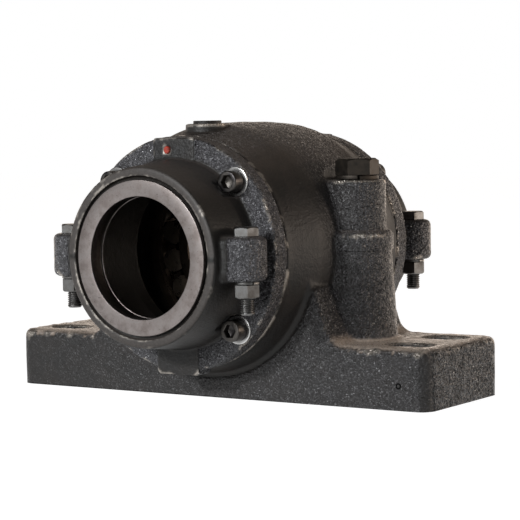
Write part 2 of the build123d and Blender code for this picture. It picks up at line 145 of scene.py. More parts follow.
def around(centre, along, radius, angle, height):
    """Points at that radius and angle about the axis through centre, raised by height along it.

    Centre plus radius times cosine and sine along two directions square to the axis.
    """
    along = np.asarray(along, float)
    helper = np.array([0.0, 0.0, 1.0]) if abs(along[2]) < 0.9 else np.array([1.0, 0.0, 0.0])
    across = np.cross(helper, along)
    across /= np.linalg.norm(across)
    other = np.cross(along, across)
    return (np.asarray(centre) + np.multiply.outer(radius * np.cos(angle), across)
            + np.multiply.outer(radius * np.sin(angle), other)
            + np.multiply.outer(height + 0 * angle, along))


print("grid helpers ready")

# %% [markdown]
# ## Vectorised noise
# Cast iron is never quite flat: smooth random noise gives its skin slow waves and small lumps. A
# Displace modifier would need a texture and a vertex group. Here both are sums on arrays: each
# lattice corner gets a pseudo random height from a hash, and the eight corners round a point are
# blended.

# %% Value noise
HASH_PRIMES = (374761393, 668265263, 2147483647)
HASH_MIX = 1274126177
LATTICE_SHIFT = 1000.0


def corner_height(x, y, z, seed):
    """Pseudo random height from -1 to 1 for whole-number lattice corners.

    Its numbers times large primes are summed, and the bits of the sum are stirred twice.
    """
    mixed = (x * HASH_PRIMES[0] + y * HASH_PRIMES[1] + z * HASH_PRIMES[2] + seed * HASH_MIX) & 0xFFFFFFFF
    mixed = ((mixed ^ (mixed >> 13)) * HASH_MIX) & 0xFFFFFFFF
    return ((mixed ^ (mixed >> 16)) & 0xFFFF) / 32767.5 - 1.0


def noise(points, size, seed):
    """Smooth noise from -1 to 1 whose lumps are about size metres wide.

    The sum over a cell's eight corners of the corner's height times how near the point is to it.
    The shift only keeps the cells' numbers positive.
    """
    scaled = points / size + LATTICE_SHIFT
    cell = np.floor(scaled).astype(np.int64)
    part = scaled - cell
    part = part * part * (3 - 2 * part)
    total = np.zeros(len(points))
    for corner in range(8):
        step = np.array([corner & 1, (corner >> 1) & 1, corner >> 2])
        weight = np.prod(np.where(step, part, 1 - part), axis=1)
        total += weight * corner_height(*(cell + step).T, seed)
    return total


def ramp(value, low, high):
    """0 below low, 1 above high and a smooth step between them."""
    part = np.clip((value - low) / (high - low), 0, 1)
    return part * part * (3 - 2 * part)


print("noise at the origin:", round(float(noise(np.zeros((1, 3)), 10 * mm, 0)[0]), 3))

# %% [markdown]
# ## Numbers that travel with a mesh
# A number stored for each vertex goes with the mesh into the material, which can then tell rough
# sand from a machined face. A painted mask could do that too, but it would need an image.

# %% Arrays from and to a mesh
def vertex_arrays(mesh):
    """Positions and outward normals of a mesh's vertices."""
    count = len(mesh.vertices)
    places = np.empty(count * 3)
    mesh.vertices.foreach_get("co", places)
    normals = np.empty(count * 3)
    mesh.vertex_normals.foreach_get("vector", normals)
    return places.reshape(-1, 3), normals.reshape(-1, 3)


def add_attribute(mesh, name, values):
    """Stores one number for each vertex, for a material to read."""
    layer = mesh.attributes.new(name, "FLOAT", "POINT")
    layer.data.foreach_set("value", np.ascontiguousarray(values, dtype=np.float32))


def shaft_radius(places):
    """Distance of each point from the shaft's axis."""
    return np.hypot(places[:, 0], places[:, 2] - AXIS_Z)


print("barrel reaches", round(BARREL_HALF / mm, 1), "mm each way")

# %% [markdown]
# ## Cast skins
# The housing and the covers were cast in sand and painted, but the CAD solids have crisp edges. A
# Bevel modifier trips over the small faces where their curves meet, so each casting is copied,
# remeshed into small even faces and smoothed, which rounds every edge. It would round the split
# faces too, so the copy is carried past each split, and a saw then trims it flat.

# %% Remeshed copies
PAST_CUT = 3 * mm
ON_CUT = 0.01 * mm
SMOOTHING = 0.5
WELD_DISTANCE = 0.001 * mm


def stretched_copy(node, cuts):
    """Copy of a CAD node's mesh, whose vertices at each cut height are carried past it."""
    mesh = frame["nodes"][node].data.copy()
    with edited(mesh) as work:
        bmesh.ops.remove_doubles(work, verts=work.verts, dist=WELD_DISTANCE)
    places = vertex_arrays(mesh)[0]
    for height, outward in cuts:
        places[np.abs(places[:, 2] - height) < ON_CUT, 2] += outward * PAST_CUT
    mesh.vertices.foreach_set("co", places.ravel())
    mesh.update()
    return mesh


def remeshed(node, voxel, passes, cuts):
    """Even mesh over a CAD node, made of faces about one voxel wide, with softened edges."""
    source = linked(node + "_source", stretched_copy(node, cuts))
    skin = source.modifiers.new("skin", "REMESH")
    skin.mode = "VOXEL"
    skin.voxel_size = voxel
    soften = source.modifiers.new("soften", "SMOOTH")
    soften.factor = SMOOTHING
    soften.iterations = passes
    graph = bpy.context.evaluated_depsgraph_get()
    mesh = bpy.data.meshes.new_from_object(source.evaluated_get(graph))
    bpy.data.objects.remove(source)
    return mesh


def saw(mesh, cuts):
    """Trims the mesh at each height and closes it there with a flat face."""
    with edited(mesh) as work:
        for height, outward in cuts:
            everything = work.verts[:] + work.edges[:] + work.faces[:]
            bmesh.ops.bisect_plane(work, geom=everything, dist=WELD_DISTANCE,
                                   plane_co=(0, 0, height), plane_no=(0, 0, outward),
                                   clear_outer=True)
            rim = [edge for edge in work.edges if edge.is_boundary]
            bmesh.ops.triangle_fill(work, use_beauty=False, use_dissolve=False, edges=rim,
                                    normal=(0, 0, outward))
        bmesh.ops.recalc_face_normals(work, faces=work.faces)


print("castings are carried", PAST_CUT / mm, "mm past each split, then sawn")

# %% [markdown]
# ## Edges that lose their paint
# Paint rubs through first where an edge stands proud. A vertex on an edge lies above the mean of
# its neighbours, and one on a flat face doesn't, so that height finds the edges. Averaging it
# over the neighbours turns thin lines into worn bands, which are partly wear and partly painted
# edge highlights.

# %% Proud edges
def neighbour_mean(pairs, values):
    """Mean of the values of each vertex's neighbours."""
    total = np.zeros_like(values)
    count = np.zeros(len(values))
    for a, b in ((0, 1), (1, 0)):
        np.add.at(total, pairs[:, a], values[pairs[:, b]])
        np.add.at(count, pairs[:, a], 1)
    return (total.T / np.maximum(count, 1)).T


def edge_height(mesh, places, normals, counted, spread=3):
    """How far each counted vertex stands above the mean of its neighbours, along its normal."""
    pairs = np.empty(len(mesh.edges) * 2, np.int64)
    mesh.edges.foreach_get("vertices", pairs)
    pairs = pairs.reshape(-1, 2)
    height = np.einsum("ij,ij->i", places - neighbour_mean(pairs, places), normals) * counted
    for step in range(spread):
        height = (height + neighbour_mean(pairs, height)) / 2
    return height


print("edge finder ready")

# %% [markdown]
# ## One casting
# Four noises push the skin in and out: slow waves, lumps, coarse sand and fine sand. Faces that
# are machined on the real part keep still. Three numbers per vertex go to the material: how rough
# the sand is, how far an edge has lost its paint and carries a painted highlight, and how much
# dust and painted light lies on it.

# %% Casting in its sand skin
TOUCHING = 0.1 * mm
BORED_RADIUS = 95 * mm
END_WALL_CLEAR = 1 * mm
WAVE_SIZE = 26 * mm
LUMP_SIZE = 8 * mm
COARSE_SAND = 4.2 * mm
FINE_SAND = 2.1 * mm
LARGE_CHIPS = 9 * mm
SMALL_CHIPS = 2.4 * mm
WORN_GLINT_FROM, WORN_GLINT_BY = 1.05, 1.6
SEAM_FROM, SEAM_BY = 1 * mm, 3 * mm
CAST_SHARP_ANGLE = 50.0


def machined(places):
    """1 where a tool has cut the casting: the standing face, the split faces and the bores."""
    height = places[:, 2]
    flat = (height < TOUCHING) | (np.abs(height - AXIS_Z) < TOUCHING)
    between_ends = np.abs(places[:, 1]) < BARREL_HALF - END_WALL_CLEAR
    bored = (shaft_radius(places) < BORED_RADIUS) & between_ends
    return (flat | bored).astype(float)


def sand_shift(places, rough, wave, lump, grain):
    """Waves everywhere, and lumps and two sizes of sand that grow with the roughness."""
    return (wave * noise(places, WAVE_SIZE, 1)
            + (0.5 + rough ** 2) * lump * noise(places, LUMP_SIZE, 2)
            + rough ** 2 * grain * 1.5 * noise(places, COARSE_SAND, 3)
            + rough * grain * noise(places, FINE_SAND, 4))


def worn_share(mesh, places, normals, outside, wear_and_glint):
    """How much bare metal and painted edge highlight shows: the edge's height plus chips of two sizes,
    above a threshold.

    The height is measured in that of the proudest twentieth of the outside.
    """
    proud = edge_height(mesh, places, normals, outside > 0.99)
    usual = np.quantile(proud[outside > 0.5], 0.95)
    chips_and_glints = 0.85 * noise(places, LARGE_CHIPS, 5) + 0.35 * noise(places, SMALL_CHIPS, 6)
    return ramp(wear_and_glint * proud / usual + chips_and_glints, WORN_GLINT_FROM, WORN_GLINT_BY) * outside


def dress(piece, node, slot, body="housing"):
    """Ties a made piece to the node it stands for."""
    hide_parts(node)
    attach(piece, body)
    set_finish(piece, slot)
    return piece


def cast_piece(name, node, slot, cuts, rough_at, dust_and_light_at, voxel, passes, wave, lump, grain, wear_and_glint):
    """Casting whose skin moves along its normals, with its numbers for roughness, for worn edges with
    painted highlights, and for dust with painted light.
    """
    mesh = remeshed(node, voxel, passes, cuts)
    places, normals = vertex_arrays(mesh)
    shift = sand_shift(places, rough_at(places, normals), wave, lump, grain)
    places += normals * (shift * (1 - machined(places)))[:, None]
    mesh.vertices.foreach_set("co", places.ravel())
    saw(mesh, cuts)
    places, normals = vertex_arrays(mesh)
    seam = np.min([np.abs(places[:, 2] - height) for height, outward in cuts], axis=0)
    outside = (1 - machined(places)) * ramp(seam, SEAM_FROM, SEAM_BY)
    # Worn edges: bare metal, partly wear and partly painted edge highlights.
    worn = worn_share(mesh, places, normals, outside, wear_and_glint)
    add_attribute(mesh, "rough", rough_at(places, normals))
    add_attribute(mesh, "worn", worn)
    add_attribute(mesh, "dust", dust_and_light_at(places, normals) * outside)
    shade(mesh, CAST_SHARP_ANGLE)
    print(name, len(mesh.polygons), "faces, worn share", round(float(worn.mean()), 3))
    return dress(linked(name, mesh), node, slot)


# %% [markdown]
# ## The housing
# The barrel is smooth under its paint. The feet and the bolt posts keep a coarse sand grain, and
# the crown is lumpy. Dust lies where a face is level, most of all on the feet, and is painted pale
# enough to stand for the sheen of those faces too. Pale specks along the feet's long upper edges
# are painted glints. Each of these is a product of ramps on place and slope.

# %% The housing's two castings
BLEND = 3 * mm
BARREL_SKIN = 107 * mm
END_FROM, END_BY = 12 * mm, 5 * mm
CROWN_FROM, CROWN_BY = -25 * mm, 10 * mm
CROWN_SLOPES = (0.72, 0.95)
FRONT_SLOPES = (0.8, 0.95)
CORNER_SLOPES = (0.08, 0.22)
LEVEL_SLOPES = (0.45, 0.95)
EDGE_SLOPES = (0.22, 0.42)


def level_dust_and_sheen(normals):
    """Dust, which also paints the sheen of level faces, lies where the surface is level."""
    return ramp(normals[:, 2], *LEVEL_SLOPES)


def housing_rough(places, normals):
    """Rough outside the barrel, most on the foot's ends, less on its front; lumpy along the crown.

    The front is smoothest at its left end, and so are the foot's upright corners.
    """
    x, y, z = places.T
    lean_x, lean_y, lean_z = normals.T
    outside = ramp(shaft_radius(places), BARREL_SKIN, BARREL_SKIN + BLEND)
    foot_ends = ramp(np.abs(x), FOOT_END - END_FROM, FOOT_END - END_BY)
    crown = ramp(lean_z, *CROWN_SLOPES) * ramp(x, CROWN_FROM, CROWN_BY) * (z > AXIS_Z)
    smoothed = 0.50 - 0.30 * x / FOOT_END
    front = 1 - smoothed * ramp(np.abs(lean_y), *FRONT_SLOPES)
    corners = ramp(np.abs(lean_x * lean_y), *CORNER_SLOPES) * foot_ends
    return (np.clip(outside * front + 0.9 * crown, 0, 1) + 0.7 * foot_ends) * (1 - 0.8 * corners)


def housing_dust_and_sheen(places, normals):
    """Level dust that also paints sheen, thickest on the feet, with pale specks along the feet's long
    upper edges that are painted glints.
    """
    on_foot = places[:, 2] < 0.5 * AXIS_Z
    level = level_dust_and_sheen(normals) * np.where(on_foot, 1.0, 0.12)
    # Pale specks along the feet's long upper edges are painted glints.
    long_edge = ramp(np.abs(normals[:, 1]) * normals[:, 2], *EDGE_SLOPES) * on_foot
    chips_and_glints = noise(places, 2.3 * mm, 7) + 0.6 * noise(places, 6.1 * mm, 8)
    return np.maximum(level, long_edge * ramp(chips_and_glints, 0.25, 0.55))


housing_sand = {"passes": 3, "wave": 0.16 * mm, "grain": 0.10 * mm, "wear_and_glint": 1.0}
cast_piece("base_casting", "housing_base", "cast_iron_black", [(AXIS_Z, 1), (0.0, -1)],
           housing_rough, housing_dust_and_sheen, voxel=1.8 * mm, lump=0.12 * mm, **housing_sand)
cast_piece("cap_casting", "housing_cap", "cast_iron_black", [(AXIS_Z, -1)],
           housing_rough, housing_dust_and_sheen, voxel=1.6 * mm, lump=0.14 * mm, **housing_sand)

# %% [markdown]
# ## The covers
# Each cover is two castings: a bolted rim with ears and pads, and a nose round the ring. Being
# smaller, they get finer faces and less smoothing than the housing.

# %% The covers' four castings
RIM_FACE = BARREL_HALF + 17 * mm
NOSE_FOOT = 80 * mm
PAD_HALF = 30 * mm
PAD_RISE = 2 * mm
PAD_ROUGH = 0.08
NOSE_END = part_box("rear_cover_upper")[1].y
LIT_END_FROM, LIT_END_BY = 1.2 * mm, 0.5 * mm


def cover_rough(places, normals):
    """Rough on the bolted rim and on the ears, nearly smooth on the pads, smooth on the nose."""
    on_rim = ramp(shaft_radius(places), NOSE_FOOT, NOSE_FOOT + BLEND)
    on_pad = (np.abs(places[:, 1]) > RIM_FACE + PAD_RISE) & (np.abs(places[:, 0]) < PAD_HALF)
    return on_rim * np.where(on_pad, PAD_ROUGH, 1.0)


def cover_dust_and_lit_end(places, normals):
    """Dust on level faces, and the end face of the nose painted lighter grey as painted light."""
    # The lighter end face of the nose is painted light.
    end_face = ramp(np.abs(places[:, 1]), NOSE_END - LIT_END_FROM, NOSE_END - LIT_END_BY)
    return np.maximum(0.8 * level_dust_and_sheen(normals), end_face)


cover_sand = {"passes": 2, "wave": 0.12 * mm, "lump": 0.10 * mm, "grain": 0.06 * mm, "wear_and_glint": 1.15}
for end in ends:
    for half, outward in zip(halves, (-1, 1)):
        cast_piece(f"{end}_{half}_cover_casting", f"{end}_cover_{half}", "cover_iron",
                   [(AXIS_Z, outward)], cover_rough, cover_dust_and_lit_end, voxel=1.3 * mm, **cover_sand)

# %% [markdown]
# ## Labyrinth rings
# Each ring is turned from steel and left bare. Its face catches the light, so its corners matter:
# a profile with rounded corners is carried round the shaft's axis. A seal's groove lies near the
# bore's inner end. The bore is oily and in shade, and its darker colour is partly oil and partly
# painted shade.

# %% Turned rings
RING_SEGMENTS = 240
RING_CORNER = 0.9 * mm
GROOVE_DEPTH = 5.2 * mm
INNER_BEVEL = 0.8 * mm
SEAL_LAND = 2.0 * mm
SEAL_WIDTH = 2.0 * mm
SEAL_DEPTH = 1.5 * mm
BANDS = 5
BORE_WALL = 2 * mm
FACE_CLEAR = 1.2 * mm
BORE_SHADE = 0.9


def rounded(corners, size, steps=3):
    """Closed profile whose corners are replaced by short curves of about that size.

    Each corner becomes a quadratic curve from a point on the edge before it to a point on the
    edge after it, with the corner itself as the middle control point.
    """
    corners = np.asarray(corners, float)
    before, after = np.roll(corners, 1, 0), np.roll(corners, -1, 0)
    into, out = before - corners, after - corners
    reach_in = np.minimum(size, np.linalg.norm(into, axis=1) * 0.45)[:, None]
    reach_out = np.minimum(size, np.linalg.norm(out, axis=1) * 0.45)[:, None]
    first = corners + into / np.linalg.norm(into, axis=1)[:, None] * reach_in
    last = corners + out / np.linalg.norm(out, axis=1)[:, None] * reach_out
    t = np.linspace(0, 1, steps + 1)[None, :, None]
    curve = (1 - t) ** 2 * first[:, None] + 2 * t * (1 - t) * corners[:, None] + t ** 2 * last[:, None]
    return curve.reshape(-1, 2)


def full_turn(steps):
    """That many angles, evenly round the axis."""
    return np.linspace(0, 2 * np.pi, steps, endpoint=False)


def turned(name, centre, along, profile, angle, closed=True):
    """Piece whose profile of (radius, height) pairs is carried round the axis.

    Each radius and height is a number, or one value for every angle.
    """
    rows = [around(centre, along, radius, angle, height) for radius, height in profile]
    return grid_piece(name, np.array(rows), loop_rows=closed)


def ring_profile(outer, length):
    """Corners as (radius, height), along the bore and back over the ribs, from the inner end at 0.

    Three ribs and the two grooves between them share the length in equal bands.
    """
    seal_end = SEAL_LAND + SEAL_WIDTH
    corners = [(BORE_RADIUS + INNER_BEVEL, 0), (BORE_RADIUS, INNER_BEVEL), (BORE_RADIUS, SEAL_LAND),
               (BORE_RADIUS + SEAL_DEPTH, SEAL_LAND), (BORE_RADIUS + SEAL_DEPTH, seal_end),
               (BORE_RADIUS, seal_end), (BORE_RADIUS, length), (outer, length)]
    band = length / BANDS
    floor = outer - GROOVE_DEPTH
    for start in (2 * band, 0):
        corners += [(outer, start + 2 * band), (floor, start + 2 * band), (floor, start + band),
                    (outer, start + band)]
    return corners + [(outer, 0)]


def labyrinth_ring(end):
    """Ring whose number called rim is low in the bore, as painted shade, but for one wall of the seal's
    groove.
    """
    side = outward_y[end]
    low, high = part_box(f"{end}_labyrinth_ring")
    length = high.y - low.y
    inner_end = np.array([0, side * (max(abs(low.y), abs(high.y)) - length), AXIS_Z])
    profile = rounded(ring_profile(high.x, length), RING_CORNER)
    ring = turned(f"{end}_turned_ring", inner_end, [0, side, 0], profile, full_turn(RING_SEGMENTS))
    places = vertex_arrays(ring.data)[0]
    depth = np.abs(places[:, 1] - inner_end[1])
    # The darker bore is painted shade, and partly oil.
    in_bore = (shaft_radius(places) < BORE_RADIUS + BORE_WALL) * (depth < length - FACE_CLEAR)
    groove_wall = np.abs(depth - SEAL_LAND) < TOUCHING
    add_attribute(ring.data, "rim", 1 - BORE_SHADE * in_bore * (1 - groove_wall))
    return dress(ring, f"{end}_labyrinth_ring", "ring_steel", f"{end}_ring")


rings = [labyrinth_ring(end) for end in ends]
print("ring faces:", [len(ring.data.polygons) for ring in rings])

# %% [markdown]
# ## Hexagons and threads
# A bolt is one profile turned about its axis, with two twists. On the head the radius follows a
# hexagon: half the width across flats, divided by the cosine of the angle from the middle of the
# nearest flat. On the shank it follows the thread: it falls and rises once for each pitch, and
# the phase turns with the angle, which makes the ridge climb. One grid gives head and shank
# together, where a cylinder with a screw cut into it would need a boolean.

# %% Bolt and nut surfaces
SEGMENTS = 72
turn = full_turn(SEGMENTS)
THREAD_DEPTH = 0.54
THREAD_RUNOUT = 1.2
THREAD_ROWS = 7
CHAMFER_START = 0.475
CHAMFER_SLOPE = np.tan(np.radians(30))
HEX_BREAK = 0.3 * mm
BOLT_TIP = 1.1 * mm
NUT_PLAY = 0.05 * mm


def hexagon_radius(across_flats):
    """Radius of a hexagon at every angle of turn, with a corner at angle zero."""
    from_flat = turn % (np.pi / 3) - np.pi / 6
    return across_flats / 2 / np.cos(from_flat)


def head_rows(across_flats, low, high):
    """Rows from the top of a chamfered hexagon down to its bearing face, as (radius, height)."""
    edge = hexagon_radius(across_flats)
    flat = across_flats * CHAMFER_START
    fall = (edge - flat) * CHAMFER_SLOPE
    return [(0, high), (flat, high), (edge - HEX_BREAK, high - fall),
            (edge, high - fall - HEX_BREAK), (edge, low + HEX_BREAK), (edge - HEX_BREAK, low)]


def thread_rows(diameter, pitch, low, high):
    """Rows down a threaded stretch. Depth times half of one minus the cosine of the climb.

    The depth fades out within a little more than a pitch of either end.
    """
    rows = []
    runout = THREAD_RUNOUT * pitch
    for height in np.arange(high, low, -pitch / THREAD_ROWS):
        wave = 0.5 - 0.5 * np.cos(2 * np.pi * height / pitch - turn)
        fade = min(1.0, (height - low) / runout, (high - height) / runout)
        rows.append((diameter / 2 - THREAD_DEPTH * pitch * wave * fade, height))
    return rows


def hex_bolt(name, centre, length, head, size, facing):
    """Hexagon bolt, head up, whose bearing face is at centre and whose first corner is at facing."""
    radius = size["d"] / 2
    plain = size["threaded"] - length
    rows = head_rows(size["flats"], 0.0, head) + [(radius, 0), (radius, plain)]
    rows += thread_rows(size["d"], size["pitch"], BOLT_TIP - length, plain)
    rows += [(radius - BOLT_TIP, -length), (0, -length)]
    return turned(name, centre, [0, 0, 1], rows, turn + np.radians(facing), closed=False)


def hex_nut(name, centre, height, size, facing):
    """Hexagon nut hanging below centre, chamfered at its lower end."""
    bore = size["d"] / 2 + NUT_PLAY
    rows = [(bore, height)] + head_rows(size["flats"], 0.0, height)[1:] + [(bore, 0)]
    return turned(name, centre, [0, 0, -1], rows, turn + np.radians(facing))


print("bolt surfaces use", SEGMENTS, "steps a turn")

# %% [markdown]
# ## Cap bolts, ear bolts and their nuts
# Two large bolts hold the cap down, and a smaller one with a nut closes each pair of ears. Their
# lengths and heads come from the frame's boxes. Real bolts never stop at the same angle, but the
# pairs here do, so that each size needs only one number for its turn, in degrees.

# %% Hexagon bolts and nuts
M22 = {"d": 22 * mm, "pitch": 2.5 * mm, "flats": 32 * mm, "threaded": 50 * mm}
M12 = {"d": 12 * mm, "pitch": 1.75 * mm, "flats": 19 * mm, "threaded": 30 * mm, "head": 7.5 * mm}
CAP_BOLT_TURN = 5.5
EAR_BOLT_TURN = 39.5
EAR_NUT_TURN = 24


def standing_bolt(name, node, bearing, size, facing, slot):
    """Bolt whose head bears at that height, and which reaches to both ends of the node's box."""
    low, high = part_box(node)
    centre = middle(node, 2, bearing)
    return dress(hex_bolt(name, centre, bearing - low.z, high.z - bearing, size, facing), node, slot)


def cap_bolt(hand):
    """Bolt that bears on the cap's spring washer."""
    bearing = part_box(f"cap_spring_washer_{hand}")[1].z
    return standing_bolt(f"{hand}_cap_bolt", f"cap_bolt_{hand}", bearing, M22, CAP_BOLT_TURN, "bolt_dark")


def ear_bolt(end, hand):
    """Bolt that bears on the upper ear."""
    node = f"{end}_ear_bolt_{hand}"
    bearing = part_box(node)[1].z - M12["head"]
    return standing_bolt(f"{end}_{hand}_ear_bolt", node, bearing, M12, EAR_BOLT_TURN, "bolt_steel")


def ear_nut(end, hand):
    """Nut that hangs under the lower ear's spring washer."""
    node = f"{end}_ear_nut_{hand}"
    low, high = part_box(node)
    centre = middle(f"{end}_ear_bolt_{hand}", 2, high.z)
    nut = hex_nut(f"{end}_{hand}_ear_nut", centre, high.z - low.z, M12, EAR_NUT_TURN)
    return dress(nut, node, "bolt_steel")


cap_bolts = [cap_bolt(hand) for hand in hands]
ear_pieces = [make(end, hand) for make in (ear_bolt, ear_nut) for end in ends for hand in hands]
print(len(cap_bolts), "cap bolts,", len(ear_pieces), "ear bolts and nuts")

# %% [markdown]
# ## Cover screws
# Four cap screws with hexagon sockets hold each cover. Their profile goes down into the socket
# first, then over the head's rounded rim, so socket, knurl and shank are one closed sheet.

# %% Socket screws
SOCKET12 = {"d": 12 * mm, "length": 35 * mm, "head_d": 18 * mm, "head": 12 * mm, "flats": 10 * mm,
            "depth": 6 * mm}
SOCKET_CONE = 1.5 * mm
SOCKET_BEVEL = 0.5 * mm
KNURL = {"depth": 0.12 * mm, "ridges": 24}
HEAD_ROUND = 1.2 * mm
HEAD_BREAK = 0.4 * mm
SCREW_TIP = 1.0 * mm


def socket_screw(name, centre, along, size):
    """Cap screw whose bearing face is at centre: hexagon socket, rounded rim and fine knurl.

    The rim is a quarter circle. The knurl takes the sine of many times the angle off the radius.
    """
    socket = hexagon_radius(size["flats"])
    head, radius, head_radius = size["head"], size["d"] / 2, size["head_d"] / 2
    floor = head - size["depth"]
    knurl = KNURL["depth"] * np.abs(np.sin(turn * KNURL["ridges"]))
    rows = [(0, floor - SOCKET_CONE), (socket, floor), (socket, head - SOCKET_BEVEL),
            (socket + SOCKET_BEVEL, head)]
    for share in np.linspace(0, 1, 5):
        rows.append((head_radius - HEAD_ROUND * (1 - np.sin(share * np.pi / 2)) - knurl * share,
                     head - HEAD_ROUND * (1 - np.cos(share * np.pi / 2))))
    rows += [(head_radius - knurl, HEAD_BREAK), (head_radius - HEAD_BREAK, 0), (radius, 0),
             (radius, SCREW_TIP - size["length"]), (radius - SCREW_TIP, -size["length"]),
             (0, -size["length"])]
    return turned(name, centre, along, rows, turn, closed=False)


def cover_screw(end, half, hand):
    """Screw whose head stands out from the cover's rim."""
    node = f"{end}_cover_screw_{half}_{hand}"
    low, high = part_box(node)
    side = outward_y[end]
    centre = middle(node, 1, side * (max(abs(low.y), abs(high.y)) - SOCKET12["head"]))
    screw = socket_screw(f"{end}_screw_{half}_{hand}", centre, [0, side, 0], SOCKET12)
    return dress(screw, node, "screw_black")


cover_screws = [cover_screw(end, half, hand) for end in ends for half in halves for hand in hands]
print(len(cover_screws), "cover screws")

# %% [markdown]
# ## Washers
# A flat washer is a thin turned ring. A spring washer is a square wire bent once round, with its
# two ends a little apart: the section is carried round the bolt while it climbs.

# %% Flat and spring washers
BOLT_PLAY = 0.4 * mm
WASHER_SEGMENTS = 96
WASHER_CORNER = 0.8 * mm
RUBBED_GLINT_FROM, RUBBED_GLINT_BY = 1.1 * mm, 0.6 * mm
WIRE_STEPS = 90
WIRE_CORNER = 0.3 * mm
WIRE_RISE = 0.2
WIRE_GAP = 0.12
EAR_GAP_AT, CAP_GAP_AT = 1.1, 0.6


def flat_washer(end, half, hand):
    """Turned ring whose number called rim is 1 on its rubbed outer edge, which is painted bright as a
    highlight too.
    """
    node, side = f"{end}_cover_washer_{half}_{hand}", outward_y[end]
    low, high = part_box(node)
    outer = (high.x - low.x) / 2
    inner = SOCKET12["d"] / 2 + BOLT_PLAY
    thick = high.y - low.y
    centre = middle(node, 1, side * min(abs(low.y), abs(high.y)))
    corners = [(inner, 0), (inner, thick), (outer, thick), (outer, 0)]
    ring = turned(f"{end}_{half}_{hand}_cover_washer", centre, [0, side, 0],
                  rounded(corners, WASHER_CORNER, 4), full_turn(WASHER_SEGMENTS))
    places = vertex_arrays(ring.data)[0]
    radius = np.hypot(places[:, 0] - centre[0], places[:, 2] - centre[2])
    # The bright rubbed rim is partly wear and partly a painted highlight.
    add_attribute(ring.data, "rim", ramp(radius, outer - RUBBED_GLINT_FROM, outer - RUBBED_GLINT_BY))
    return dress(ring, node, "washer_steel")


def spring_washer(name, node, size, gap_at, slot):
    """Square wire bent round the bolt. Height climbs with the angle by a share of its thickness.

    gap_at is where its two ends are, in radians round the bolt. A point in the middle of each end
    closes it.
    """
    low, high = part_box(node)
    outer = (high.x - low.x) / 2
    inner = size["d"] / 2 + BOLT_PLAY
    thick = high.z - low.z
    rise = WIRE_RISE * thick
    wire = [(inner, 0), (inner, thick - rise), (outer, thick - rise), (outer, 0)]
    share = np.linspace(0, 1, WIRE_STEPS)
    angle = gap_at + WIRE_GAP / 2 + share * (2 * np.pi - WIRE_GAP)
    centre = middle(node, 2, low.z)
    section = np.stack([around(centre, [0, 0, 1], radius, angle, height + rise * share)
                        for radius, height in rounded(wire, WIRE_CORNER, 2)], axis=1)
    caps = section.mean(axis=1, keepdims=True).repeat(section.shape[1], axis=1)
    points = np.concatenate([caps[:1], section, caps[-1:]])
    return dress(grid_piece(name, points), node, slot)


washers = [flat_washer(end, half, hand) for end in ends for half in halves for hand in hands]
washers += [spring_washer(f"{end}_{hand}_ear_washer", f"{end}_ear_washer_{hand}", M12, EAR_GAP_AT,
                          "bolt_steel") for end in ends for hand in hands]
washers += [spring_washer(f"{hand}_cap_washer", f"cap_spring_washer_{hand}", M22, CAP_GAP_AT,
                          "bolt_dark") for hand in hands]
print(len(washers), "washers")

# %% [markdown]
# ## Cast centre mark
# A small round mark is cast into the front of the foot: a raised lip round a floor, with a boss
# in its middle. The casting's skin is too coarse for it, so the mark is a turned piece of its
# own. Its place and radius come from the mark's floor in the CAD mesh.

# %% Mark on the foot
MARK_DEPTH = 1.0 * mm
MARK_TOLERANCE = 0.05 * mm
MARK_FROM, MARK_BY = 12 * mm, 45 * mm
MARK_SINK = 0.5 * mm
LIP_FOOT = 0.55 * mm
LIP_TOP = 0.85 * mm
LIP_BEVEL = 0.5 * mm
LIP_WIDTH = 1.2 * mm
MARK_FLOOR = 0.45 * mm
BOSS_TOP = 0.75 * mm
BOSS_SHARE = 0.45


def centre_mark():
    """Turned profile: outer wall, sloping lip, floor and boss, facing the front of the foot."""
    places = vertex_arrays(frame["nodes"]["housing_base"].data)[0]
    from_end = FOOT_END - places[:, 0]
    near = (from_end > MARK_FROM) & (from_end < MARK_BY) & (places[:, 2] < AXIS_Z / 3)
    foot = places[near]
    front = foot[:, 1].min()
    floor = foot[np.abs(foot[:, 1] - front - MARK_DEPTH) < MARK_TOLERANCE]
    centre = (floor.min(axis=0) + floor.max(axis=0)) / 2
    radius = (floor[:, 0].max() - floor[:, 0].min()) / 2
    centre[1] = front + MARK_SINK
    profile = [(0, 0), (radius, 0), (radius, LIP_FOOT), (radius - LIP_BEVEL, LIP_TOP),
               (radius - LIP_WIDTH, MARK_FLOOR), (BOSS_SHARE * radius, MARK_FLOOR), (0, BOSS_TOP)]
    mark = turned("centre_mark", centre, [0, -1, 0], profile, turn, closed=False)
    places = vertex_arrays(mark.data)[0]
    from_middle = np.hypot(places[:, 0] - centre[0], places[:, 2] - centre[2])
    add_attribute(mark.data, "boss", from_middle < 0.5 * radius)
    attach(mark, "housing")
    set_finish(mark, "cast_iron_black")
    return mark


mark = centre_mark()
print("centre mark at", [round(float(part) / mm, 1) for part in mark.data.vertices[0].co])

# %% [markdown]
# ## Building node trees
# Each finish is a small node tree on the pieces' own Object coordinates, so the grain keeps its
# real size. Trees can be drawn by hand in the shader editor, but written as sums they are easier
# to read and to repeat. So a class keeps one tree and has a short method for each kind of node.

